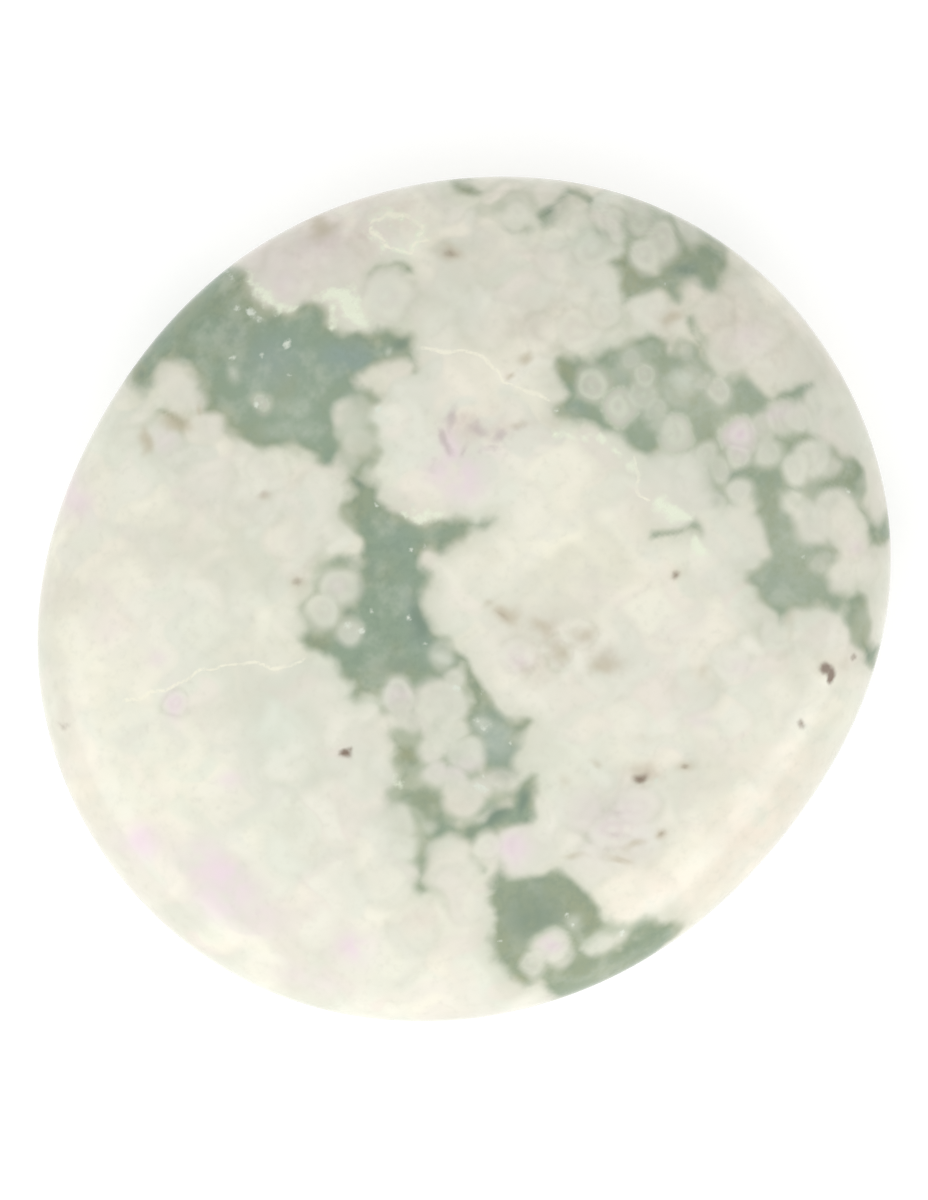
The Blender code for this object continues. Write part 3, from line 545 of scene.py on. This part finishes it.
def depth_in_patch(u, v, edge):
    """How far inside a closed edge each point is, in millimetres. It is negative outside."""
    nearest = np.full(len(u), np.inf)
    inside = np.zeros(len(u), bool)
    corners = rounded(edge)
    for start, end in zip(corners, corners[1:] + corners[:1]):
        nearest = np.minimum(nearest, along_and_away(u, v, start, end)[1])
        if start[1] != end[1]:
            crossing = start[0] + (v - start[1]) * (end[0] - start[0]) / (end[1] - start[1])
            inside ^= ((start[1] > v) != (end[1] > v)) & (u < crossing)
    return np.where(inside, nearest, -nearest)


def depth_in_streak(u, v, points):
    """How far inside a streak each point is: its half width runs evenly from point to point."""
    depth = np.full(len(u), -np.inf)
    for start, end in zip(points, points[1:]):
        share, away = along_and_away(u, v, start, end)
        depth = np.maximum(depth, start[2] + share * (end[2] - start[2]) - away)
    return depth


def deepest(u, v, shapes, depth_in):
    """How far inside the nearest of several patches or streaks each point is."""
    return np.max([depth_in(u, v, shape) for shape in shapes], axis=0)


def stain(u, v, spots):
    """The strength of soft-edged oval stains at each point."""
    total = np.zeros(len(u))
    for mu, mv, along, across, turn, strength in spots:
        c, s = math.cos(math.radians(turn)), math.sin(math.radians(turn))
        a = ((u - mu) * c + (v - mv) * s) / along
        b = ((v - mv) * c - (u - mu) * s) / across
        total = np.maximum(total, strength * np.exp(-1.2 * (a * a + b * b)))
    return total


LAYOUT = 64  # so many cells each way before their layout comes again, which is past the stone
ROUNDNESS = 9.0  # where it is low, neighbouring cells run together


def cells(u, v, seed, size, crispness):
    """Rounded cells about this many millimetres across: how far each point is from the middle of
    its cell, in sizes, and three random values of the cell, which run over at its borders, wider
    where the crispness is low."""
    layout = np.random.default_rng(seed).random((LAYOUT, LAYOUT, 5))
    column, row = np.floor(u / size).astype(int), np.floor(v / size).astype(int)
    tints = np.zeros((len(u), 3))
    shares = np.zeros(len(u))
    total = np.zeros(len(u))
    for right in (-1, 0, 1):
        for ahead in (-1, 0, 1):
            cell = layout[(column + right) % LAYOUT, (row + ahead) % LAYOUT]
            away = np.hypot(column + right + cell[:, 0] - u / size, row + ahead + cell[:, 1] - v / size)
            share = np.exp(-crispness * away)
            tints += share[:, None] * cell[:, 2:]
            shares += share
            total += np.exp(-ROUNDNESS * away)
    return -np.log(total) / ROUNDNESS, tints / shares[:, None]


BALL_REACH = 0.2  # millimetres that a ball's soft edge starts outside its radius
BALL_SOFTNESS = 0.55  # and the edge's width
BALL_BORDER = 0.2  # the dim border's width, as a share of the radius


def soft_discs(u, v, balls):
    """How much the balls hide at each point: all of a ball's share inside, none past its edge."""
    total = np.zeros(len(u))
    for bu, bv, radius, hiding, _ in balls:
        inside = np.clip((radius + BALL_REACH - np.hypot(u - bu, v - bv)) / BALL_SOFTNESS, 0.0, 1.0)
        total = np.maximum(total, hiding * inside * inside * (3.0 - 2.0 * inside))
    return total


def rings_and_edges(u, v, balls):
    """The growth rings that cut balls show, light above zero and dark below, and their dimmer
    borders, from 0 to 1. Where balls overlap, the smallest one shows."""
    rings, edges = np.zeros(len(u)), np.zeros(len(u))
    for bu, bv, radius, _, strength in sorted(balls, key=lambda ball: -ball[2]):
        out = np.hypot(u - bu, v - bv) / radius
        edge = min(0.2 + abs(strength), 1.0) * np.exp(-(((out - 1.0) / BALL_BORDER) ** 2))
        rings = np.where(out < 1.0, strength * np.cos(3.0 * math.pi * out), rings)
        edges = np.where(out < 1.0, edge, np.maximum(edges, edge))
    return rings, edges


# No mark's edge is smooth: slow waves push the places about. On the rim the marks also lean, as
# they go down into the rock.
LEAN_U, LEAN_V = 0.25, -0.3  # millimetres along for each millimetre down
LEAN_FROM = 1.5  # millimetres under the top
down = np.clip(BELLY + CROWN - LEAN_FROM - z, 0.0, None)
ball_u = u + LEAN_U * down + 0.11 * np.sin(1.9 * u + 1.4 * v) + 0.05 * np.sin(3.9 * v - 2.1 * u)
ball_v = v + LEAN_V * down + 0.11 * np.sin(2.1 * v - 1.5 * u + 2.0) + 0.05 * np.sin(3.6 * u + 2.3 * v)
lean_u = u + LEAN_U * down + 0.09 * np.sin(2.3 * u + 1.9 * v) + 0.06 * np.sin(4.9 * v - 2.1 * u + 1.0)
lean_v = v + LEAN_V * down + 0.09 * np.sin(2.6 * v - 1.7 * u + 2.0) + 0.06 * np.sin(4.4 * u + 2.7 * v)
push_u = 0.45 * np.sin(1.1 * u + 1.7 * v) + 0.25 * np.sin(2.9 * v - 1.3 * u + 1.0)
push_v = 0.45 * np.sin(1.3 * v - 1.2 * u + 2.0) + 0.25 * np.sin(2.6 * u + 1.9 * v)
under_u = u + 1.3 * np.sin(0.9 * v + 0.8) + 0.9 * np.sin(1.3 * u + 1.1 * v) + push_u
under_v = v + 1.3 * np.sin(0.8 * u + 2.1) + 0.9 * np.sin(1.4 * v - 1.1 * u) + push_v

under_balls = []
for _ in range(UNDER_BALLS):
    far = UNDER_REACH * math.sqrt(random.random())
    turn = random.uniform(0.0, 2.0 * math.pi)
    look = (random.uniform(0.4, 1.2), random.uniform(0.3, 0.9), random.uniform(-0.7, 0.7))
    under_balls.append((far * math.cos(turn), far * math.sin(turn), *look))

# Round the girdle the marks of the top run over into the underside's own
UNDER_FROM = 0.9  # millimetres above the girdle
RUN_OVER = 2.6  # the height that it takes
under = np.clip((BELLY + UNDER_FROM - z) / RUN_OVER, 0.0, 1.0)
under = under * under * (3.0 - 2.0 * under)


def over_both(top, below):
    """The top's value above the girdle, running over to the underside's value below it."""
    return top * (1.0 - under) + below * under


# The knobs and the larger masses that the rock grew in. They are laid out by the distance along
# the surface, so that they don't stretch down the rim.
KNOBS = (1.4, 8.0)  # millimetres across, and crispness
MASSES = (3.3, 5.0)
KNOB_TINT, MASS_TINT = 0.6, 0.4  # their shares in the tints
turn = around + LONG_AXIS_TURN
past_rim = top_length[-1] + low_length[-1] - walk
top_walk = np.where(on_top, walk, past_rim)
low_walk = np.where(on_top, past_rim, walk)
top_at = (top_walk * np.cos(turn) + push_u, top_walk * np.sin(turn) + push_v)
low_at = (low_walk * np.cos(turn) + push_u, low_walk * np.sin(turn) + push_v)
top_gaps, top_tints = cells(*top_at, 3, *KNOBS)
low_gaps, low_tints = cells(*low_at, 4, *KNOBS)
top_seams, top_mass = cells(*top_at, 5, *MASSES)
low_seams, low_mass = cells(*low_at, 6, *MASSES)

green_top = deepest(lean_u, lean_v, GREEN_PATCHES, depth_in_patch)
green_top = np.maximum(green_top, deepest(lean_u, lean_v, GREEN_STREAKS, depth_in_streak))

# The underside's green is bent by wider waves, and its edge steps round the knobs and masses
green_under = deepest(under_u, under_v, UNDER_STREAKS, depth_in_streak)
green_under += 1.2 * (low_seams - 0.35) + 0.8 * (low_gaps - 0.35)

top_balls = MILKY_BALLS + FAINT_BALLS
top_rings, top_edges = rings_and_edges(ball_u, ball_v, top_balls)
low_rings, low_edges = rings_and_edges(u, v, under_balls)

# Every mark becomes one value for each point of the mesh, which the material reads. The depth in
# a shape is in millimetres, and isn't followed further out than this.
FAR_OUT = 3.0
marks = {
    "green_depth": over_both(green_top.clip(-FAR_OUT), green_under.clip(-FAR_OUT)),
    "gaps": over_both(top_gaps, low_gaps),
    "seams": over_both(top_seams, low_seams),
    "balls": over_both(soft_discs(ball_u, ball_v, top_balls), soft_discs(u, v, under_balls)),
    "rings": over_both(top_rings, low_rings),
    "ball_edges": over_both(top_edges, low_edges),
}
for i, name in enumerate(("rosy", "creamy", "greenish")):
    top_tint = KNOB_TINT * top_tints[:, i] + MASS_TINT * top_mass[:, i]
    low_tint = KNOB_TINT * low_tints[:, i] + MASS_TINT * low_mass[:, i]
    marks[name] = over_both(top_tint, low_tint)
lines = [[(cu, cv, 0.0) for cu, cv, *_ in points] for points in (*CRACK_GLINTS, RING)]
depths = {
    "thin_depth": deepest(lean_u, lean_v, THIN_PATCHES, depth_in_patch),
    "crust_glint": deepest(lean_u, lean_v, CRUST_GLINTS, depth_in_streak),
    "crack_glint": deepest(lean_u, lean_v, lines, depth_in_streak),
    "fleck_glint": np.max([size - np.hypot(lean_u - mu, lean_v - mv) for mu, mv, size in GLINT_FLECKS], axis=0),
}
for name, depth in depths.items():
    marks[name] = over_both(depth.clip(-FAR_OUT), -FAR_OUT)

# The stains of the top, each with its strength on the underside
stains = {
    "milky": (MILKY_CLOUDS, 0.0),
    "veil": (VEILS, 0.2),
    "blue": (BLUE_TINTS, 0.2),
    "olive": (OLIVE_TINTS, 0.2),
    "deep": (DEEP_TINTS, 0.2),
    "lavender": (LAVENDER_STAINS, stain(u, v, UNDER_LAVENDER)),
    "beige": (BEIGE_STAINS, stain(u, v, UNDER_BEIGE)),
    "cream": (CREAM_TINTS_AND_RIM_SHEEN, 0.4),
    "warm": (WARM_TINTS_AND_RIM_SHEEN, 0.2),
    "pale_green": (PALE_GREEN_TINTS, 0.3),
    "mauve": (MAUVE_STROKES, 0.0),
    "tan": (TAN_SPOTS, 0.0),
    "brown": (BROWN_SPECKS, 0.0),
}
for name, (spots, below) in stains.items():
    marks[name] = over_both(stain(lean_u, lean_v, spots), below)
for name, values in marks.items():
    layer = stone.data.attributes.new(name, "FLOAT", "POINT")
    layer.data.foreach_set("value", values.astype(np.float32))

# The map for baking: the face that shows in its left three fifths and the underside in the rest,
# each spread out evenly from its own middle to the girdle.
FACE_SHARE = 0.6
MAP_REACH = 0.485  # from its middle, as a share of the map's height
corners = np.empty(len(stone.data.loops), np.int32)
stone.data.loops.foreach_get("vertex_index", corners)
slope = polar[corners]
on_face = np.repeat(slope.reshape(-1, 3).mean(axis=1) <= TOP_ANGLE, 3)
out = np.where(on_face, slope / TOP_ANGLE, (math.pi - slope) / (math.pi - TOP_ANGLE)) * MAP_REACH
map_u = out * np.cos(around[corners]) * np.where(on_face, FACE_SHARE, 1.0 - FACE_SHARE)
map_u += np.where(on_face, FACE_SHARE / 2.0, 0.5 + FACE_SHARE / 2.0)
map_v = 0.5 + out * np.sin(around[corners])
bake_map = stone.data.uv_layers.new(name="OFBake")
bake_map.data.foreach_set("uv", np.stack([map_u, map_v], axis=1).astype(np.float32).ravel())

middle_x = (x.min() + x.max()) / 2.0
middle_y = (y.min() + y.max()) / 2.0
placed = np.stack([(x - middle_x) * MM, (y - middle_y) * MM, z * MM], axis=1)
stone.data.vertices.foreach_set("co", placed.astype(np.float32).ravel())
stone.data.update()
bpy.ops.object.shade_smooth()


def linear(hex_value):
    """An sRGB hex value as the linear colour that a shader takes."""
    parts = [int(hex_value[i : i + 2], 16) / 255.0 for i in (1, 3, 5)]
    return [p / 12.92 if p <= 0.04045 else ((p + 0.055) / 1.055) ** 2.4 for p in parts] + [1.0]


def add_node(tree, kind, inputs=None, **settings):
    """Adds a node with its own settings. An input, given by its name or its place, is another
    node's output, a number, or a colour as a hex value."""
    node = tree.nodes.new(kind)
    for name, value in settings.items():
        setattr(node, name, value)
    for name, value in (inputs or {}).items():
        if isinstance(value, bpy.types.NodeSocket):
            tree.links.new(value, node.inputs[name])
        else:
            node.inputs[name].default_value = linear(value) if isinstance(value, str) else value
    return node


# Polished jade: nephrite and pale feldspar take a waxy, wet gloss, and light sinks a little way
# into both. The colours lie in the rock, so they cross the surface with no step.
PALE = "#E6E4D6"
CREAM = "#F0EDD9"
WARM = "#EFE3D3"
PALE_GREEN = "#D5DCCD"
BEIGE = "#D0C3B7"
LAVENDER = "#E3D1D8"
ROSE = "#E0D2CA"
MAUVE = "#B7A3A0"
STROKE_MAUVE = "#BCB1AE"
SHADE = "#C9C9B8"
VEIL = "#AEB79E"
BALL = "#CFD0C2"
GREEN = "#879A83"
BLUE_GREEN = "#899D98"
OLIVE = "#939978"
DEEP_GREEN = "#6F8471"
MILKY = "#C4CCBC"
# This colour serves both the balls' light growth rings and the painted glints along the rocks' edges
CRUST_AND_GLINT = "#E5ECD5"
# The flecks' colour, a painted glint
FLECK_GLINT = "#D6DDCF"
TAN = "#BAB198"
SPECK_BROWN = "#75614F"

material = bpy.data.materials.new("polished_jade")
material.use_nodes = True
tree = material.node_tree
surface = tree.nodes["Principled BSDF"]
place = add_node(tree, "ShaderNodeTexCoord").outputs["Object"]
mark = {
    name: add_node(tree, "ShaderNodeAttribute", attribute_name=name).outputs["Fac"] for name in marks
}


def cloudiness(size, detail, seed):
    """Soft noise about one half, whose lumps are about this many millimetres across."""
    moved = add_node(tree, "ShaderNodeMapping", {"Vector": place, "Location": (seed, 0.0, 0.0)})
    return add_node(
        tree, "ShaderNodeTexNoise",
        {"Vector": moved.outputs["Vector"], "Scale": 1.0 / (size * MM), "Detail": detail, "Roughness": 0.55},
    ).outputs["Fac"]


def shown(value, low, high, most=1.0, least=0.0, cloud=0.0, reach=0.0):
    """How much of a mark or a cloud shows: the least below its low value and the most above its
    high one, with a smooth step between. A second cloud, by its reach, makes the step ragged."""
    value = add_node(
        tree, "ShaderNodeMath", {0: cloud, 1: reach, 2: value}, operation="MULTIPLY_ADD"
    ).outputs["Value"]
    return add_node(
        tree, "ShaderNodeMapRange",
        {"Value": value, "From Min": low, "From Max": high, "To Min": least, "To Max": most},
        interpolation_type="SMOOTHSTEP",
    ).outputs["Result"]


def painted(base, layers):
    """A colour with others over it, one on another. What shows of each is a share times a
    strength, and nothing where that is below zero."""
    for tint, share, strength in layers:
        amount = add_node(
            tree, "ShaderNodeMath", {0: share, 1: strength}, operation="MULTIPLY", use_clamp=True
        ).outputs["Value"]
        base = add_node(tree, "ShaderNodeMix", {0: amount, 6: base, 7: tint}, data_type="RGBA").outputs[2]
    return base


wide = cloudiness(5.0, 3.0, 0.1)
soft = cloudiness(1.6, 3.0, 0.2)
fine = cloudiness(0.45, 4.0, 0.3)
grain = cloudiness(0.14, 2.0, 0.4)
drift = cloudiness(2.6, 2.0, 0.5)

# The pale rock, with its knobs of several tints, the dimmer lines between them, and its stains
bare = painted(PALE, (
    (PALE_GREEN, shown(mark["pale_green"], 0.8, 1.8, cloud=wide, reach=1.6), 1.0),
    (ROSE, shown(mark["rosy"], 0.4, 0.75), 0.4),
    (CREAM, shown(mark["creamy"], 0.4, 0.75), 0.5),
    (PALE_GREEN, shown(mark["greenish"], 0.4, 0.75), 0.5),
    # The cream and warm tints are partly the rock's own tone and partly a painted highlight on the lower rim
    (CREAM, shown(soft, 0.2, 0.65), mark["cream"]),
    (WARM, shown(soft, 0.2, 0.65), mark["warm"]),
    (SHADE, shown(mark["seams"], 0.22, 0.62, most=0.4), shown(wide, 0.3, 0.65)),
    (SHADE, shown(mark["gaps"], 0.2, 0.62), 0.15),
    (SHADE, shown(fine, 0.45, 0.8), 0.25),
    (BEIGE, shown(soft, 0.25, 0.75), mark["beige"]),
    (MAUVE, shown(soft, 0.55, 0.8, most=0.5), mark["beige"]),
    (LAVENDER, shown(soft, 0.15, 0.6), mark["lavender"]),
))
between = shown(mark["gaps"], 0.2, 0.62, most=0.6)
cloudy = shown(soft, 0.3, 0.65, most=0.45)
between = add_node(tree, "ShaderNodeMath", {0: between, 1: cloudy}, operation="ADD").outputs["Value"]
veil = add_node(tree, "ShaderNodeMath", {0: between, 1: mark["veil"]}, operation="MULTIPLY").outputs["Value"]
near_green = shown(mark["green_depth"], -1.2, 0.1, most=0.3)
veil = add_node(tree, "ShaderNodeMath", {0: veil, 1: near_green}, operation="MAXIMUM").outputs["Value"]
pale = painted(bare, ((VEIL, veil, 1.0),))

# The green, which is olive where it is thin, blue or deep in places, and milky where it thickens
shallow = shown(soft, 0.35, 0.7, most=shown(mark["green_depth"], 0.9, 0.0))
olive = add_node(tree, "ShaderNodeMath", {0: mark["olive"], 1: shallow}, operation="MAXIMUM").outputs["Value"]
green = painted(GREEN, (
    (OLIVE, shown(drift, 0.42, 0.65), 0.4),
    (BLUE_GREEN, mark["blue"], 0.75),
    (OLIVE, olive, 1.0),
    (DEEP_GREEN, shown(fine, 0.42, 0.68), 0.3),
    (MILKY, shown(soft, 0.45, 0.7), 0.3),
    (DEEP_GREEN, shown(mark["deep"], 0.5, 1.4, cloud=soft, reach=0.8), 1.0),
    (MILKY, shown(mark["milky"], 0.25, 1.2, cloud=fine, reach=0.4), 1.0),
))

# The green's edge steps round the knobs and is frayed by noise, which is nought on average
wobble = -0.403  # less the three clouds' mean
for cloud, reach in ((mark["gaps"], 0.45), (soft, 0.35), (fine, 0.15)):
    wobble = add_node(
        tree, "ShaderNodeMath", {0: cloud, 1: reach, 2: wobble}, operation="MULTIPLY_ADD"
    ).outputs["Value"]
thin_green = painted(green, ((VEIL, 0.45, 1.0),))
ball_color = painted(bare, ((BALL, 0.5, 1.0), (LAVENDER, mark["lavender"], 0.7)))
color = painted(pale, (
    (thin_green, shown(mark["thin_depth"], -0.35, 0.45, cloud=wobble, reach=1.0), 0.85),
    (green, shown(mark["green_depth"], -0.28, 0.4, cloud=wobble, reach=1.0), 1.0),
    (ball_color, mark["balls"], shown(soft, 0.25, 0.55, least=0.7)),
    (VEIL, mark["ball_edges"], shown(soft, 0.3, 0.65, most=0.4)),
    (CRUST_AND_GLINT, mark["rings"], 0.2),
    (MAUVE, mark["rings"], -0.17),
    # Painted glints: bright cream where the rocks' edges, the cracks and the flecks in the green catch the
    # light
    (CRUST_AND_GLINT, shown(mark["crust_glint"], 0.4, 0.85, cloud=fine, reach=1.2), 0.8),
    (CREAM, shown(mark["crack_glint"], -0.07, 0.03, cloud=grain, reach=0.1), shown(soft, 0.25, 0.55, most=0.75)),
    (FLECK_GLINT, shown(mark["fleck_glint"], 0.065, 0.245, cloud=grain, reach=0.25), 0.85),
    (STROKE_MAUVE, shown(mark["mauve"], 0.45, 1.4, cloud=fine, reach=0.8), 0.75),
    (TAN, shown(mark["tan"], 0.45, 1.45, cloud=soft, reach=0.9), 0.8),
    (SPECK_BROWN, shown(mark["brown"], 0.35, 1.35, cloud=fine, reach=0.4), 0.95),
))
tree.links.new(color, surface.inputs["Base Color"])

# Tumbling leaves faint waves in the polish, and the crusts and cracks take it less well
ripple = add_node(tree, "ShaderNodeBump", {"Height": soft, "Strength": 0.35, "Distance": 0.02 * MM})
tree.links.new(ripple.outputs["Normal"], surface.inputs["Normal"])
dull_crust = shown(mark["crust_glint"], 0.4, 0.85, most=0.12, cloud=fine, reach=1.2)
dull_crack = shown(mark["crack_glint"], -0.07, 0.03, most=0.1, cloud=grain, reach=0.1)
dull = add_node(tree, "ShaderNodeMath", {0: dull_crust, 1: dull_crack}, operation="MAXIMUM").outputs["Value"]
gloss = add_node(tree, "ShaderNodeMath", {0: soft, 1: 0.1, 2: 0.1}, operation="MULTIPLY_ADD").outputs["Value"]
roughness = add_node(tree, "ShaderNodeMath", {0: gloss, 1: dull}, operation="ADD").outputs["Value"]
tree.links.new(roughness, surface.inputs["Roughness"])
surface.inputs["IOR"].default_value = 1.61

stone.data.materials.clear()
stone.data.materials.append(material)
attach(stone, "root")
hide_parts("pocket_stone")

# The floor
# A plain sheet of white board that the stone lies on, much larger than the view. It glows a
# little, as a light table does, so that the stone throws next to no shadow on it.
FLOOR_SIDE = 4.0
bpy.ops.mesh.primitive_plane_add(size=FLOOR_SIDE)
floor = bpy.context.object
floor.name = "white_board"
board = bpy.data.materials.new("white_board")
board.use_nodes = True
board_surface = board.node_tree.nodes["Principled BSDF"].inputs
board_surface["Base Color"].default_value = linear("#D2D2D2")
board_surface["Roughness"].default_value = 0.9
board_surface["Emission Color"].default_value = linear("#FFFFFF")
board_surface["Emission Strength"].default_value = 0.45
floor.data.materials.append(board)

# The light
# A pale room that glows most behind the photograph's lower left and is dimmest across from there,
# with soft boxes that the polished rim mirrors as a thin bright band.
GLOW_TURN = math.radians(248.0)
GLOW_RISE = math.radians(35.0)
world = bpy.data.worlds.new("pale_room")
world.use_nodes = True
room = world.node_tree
direction = add_node(room, "ShaderNodeTexCoord").outputs["Generated"]
turn = GLOW_TURN - LONG_AXIS_TURN
glow = (math.cos(GLOW_RISE) * math.cos(turn), math.cos(GLOW_RISE) * math.sin(turn), math.sin(GLOW_RISE))
facing = add_node(
    room, "ShaderNodeVectorMath", {0: direction, 1: glow}, operation="DOT_PRODUCT"
).outputs["Value"]
strength = 1.0
for start, end, plain, full in ((0.45, 1.0, 0.83, 1.35), (-0.1, -0.9, 1.0, 0.75)):
    part = add_node(
        room, "ShaderNodeMapRange",
        {"Value": facing, "From Min": start, "From Max": end, "To Min": plain, "To Max": full},
        interpolation_type="SMOOTHSTEP",
    ).outputs["Result"]
    strength = add_node(room, "ShaderNodeMath", {0: part, 1: strength}, operation="MULTIPLY").outputs["Value"]
room.nodes["Background"].inputs["Color"].default_value = linear("#FFFFFF")
room.links.new(strength, room.nodes["Background"].inputs["Strength"])
bpy.context.scene.world = world


def soft_box(name, turn, rise, distance, width, height, watts):
    """A soft box that faces the stone, turned from the photograph's right and raised, in degrees."""
    lamp = bpy.data.lights.new(name, "AREA")
    lamp.shape = "RECTANGLE"
    lamp.size = width
    lamp.size_y = height
    lamp.energy = watts
    box = bpy.data.objects.new(name, lamp)
    bpy.context.scene.collection.objects.link(box)
    a = math.radians(turn) - LONG_AXIS_TURN
    e = math.radians(rise)
    out = distance * math.cos(e)
    box.location = [out * math.cos(a), out * math.sin(a), distance * math.sin(e)]
    box.rotation_euler = (math.pi / 2.0 - e, 0.0, a + math.pi / 2.0)
    box.visible_camera = False


soft_box("soft_box_lower_right", 322.0, 36.0, 0.5, 0.45, 0.13, 0.25)
soft_box("soft_box_lower_left", 214.0, 33.0, 0.5, 0.50, 0.15, 0.22)

# The camera
# It looks straight down, turned so that the stone's long axis rises to the right.
PHOTO_WIDTH, PHOTO_HEIGHT = 928, 1200
STONE_AT = (462.7, 597.9)  # the middle of the outline in the photograph, in its pixels
LONG_AXIS_PIXELS = 885.1
SENSOR_WIDTH = 36.0
pixel = LENGTH / LONG_AXIS_PIXELS
aim_u = (PHOTO_WIDTH / 2.0 - STONE_AT[0]) * pixel
aim_v = (STONE_AT[1] - PHOTO_HEIGHT / 2.0) * pixel
camera_data = bpy.data.cameras.new("camera")
camera_data.sensor_fit = "HORIZONTAL"
camera_data.sensor_width = SENSOR_WIDTH
camera_data.lens = SENSOR_WIDTH * CAMERA_HEIGHT / (PHOTO_WIDTH * pixel)
camera_data.clip_start = 0.01
camera = bpy.data.objects.new("camera", camera_data)
bpy.context.scene.collection.objects.link(camera)
aim_x = aim_u * math.cos(LONG_AXIS_TURN) + aim_v * math.sin(LONG_AXIS_TURN) - middle_x
aim_y = -aim_u * math.sin(LONG_AXIS_TURN) + aim_v * math.cos(LONG_AXIS_TURN) - middle_y
camera.location = (aim_x * MM, aim_y * MM, (CAMERA_HEIGHT + BELLY) * MM)
camera.rotation_euler = (0.0, 0.0, -LONG_AXIS_TURN)
bpy.context.scene.camera = camera
bpy.context.scene.view_settings.view_transform = "Standard"
